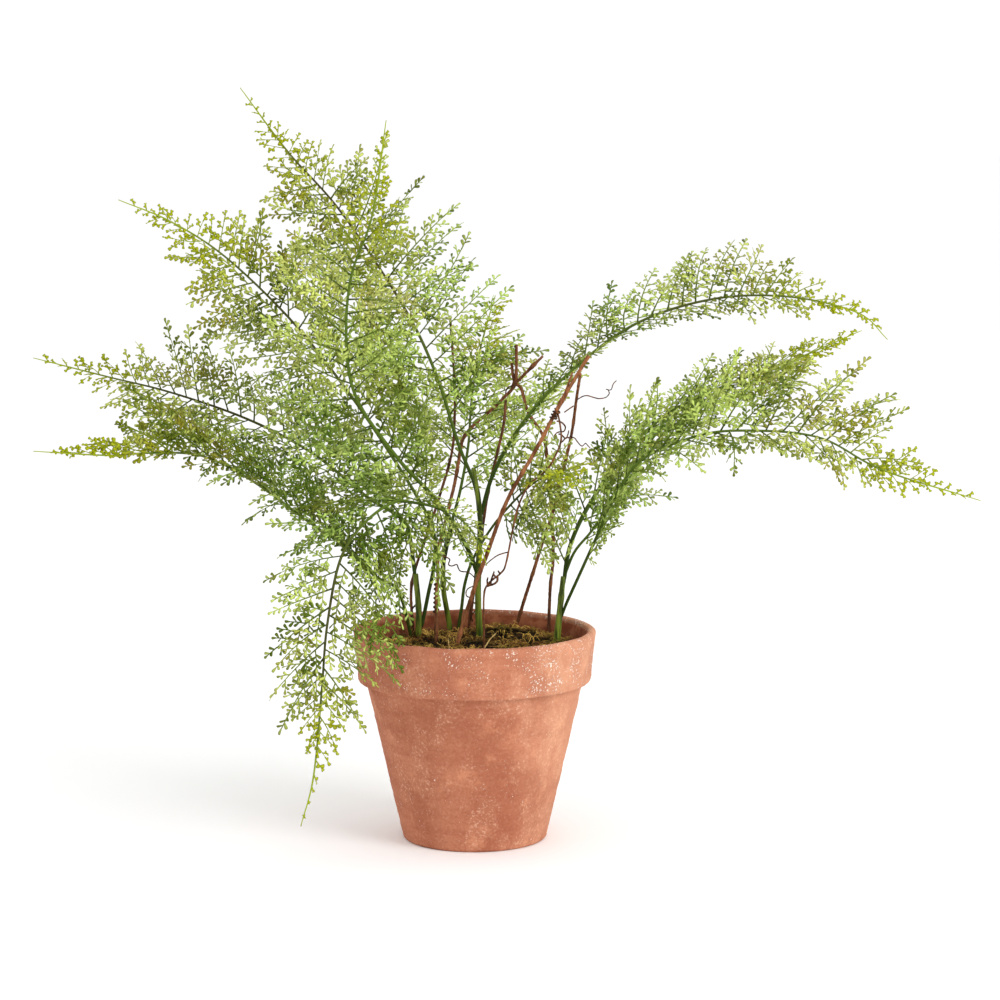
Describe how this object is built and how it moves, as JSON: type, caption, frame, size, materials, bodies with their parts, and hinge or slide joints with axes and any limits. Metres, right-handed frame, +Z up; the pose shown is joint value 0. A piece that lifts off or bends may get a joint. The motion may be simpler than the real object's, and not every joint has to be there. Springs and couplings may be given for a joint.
{
  "type": "potted lace fern",
  "caption": "Climbing lace fern in a clay pot: feathery green fronds arching out from wiry stems and brown twigs, over dry moss.",
  "frame": {"origin": "centre of the pot's underside", "axes": "+Z up; the side that the picture shows looks towards -Y; +X is to its right"},
  "size_m": [0.6, 0.2925, 0.479],
  "materials": {
    "terracotta": "matte",
    "potting_soil": "matte",
    "dry_moss": "matte",
    "fern_green": "satin",
    "twig_bark": "matte"
  },
  "bodies": {
    "root": {"pot": "terracotta", "soil": "potting_soil", "moss": "dry_moss", "spray_centre": "fern_green", "spray_left": "fern_green", "frond_left_low": "fern_green", "spray_front": "fern_green", "frond_inner_right": "fern_green", "spray_right": "fern_green", "twig_thin": "twig_bark", "twig_forked": "twig_bark", "twig_inner": "twig_bark", "twig_thick": "twig_bark", "twig_long": "twig_bark"}
  },
  "joints": []
}
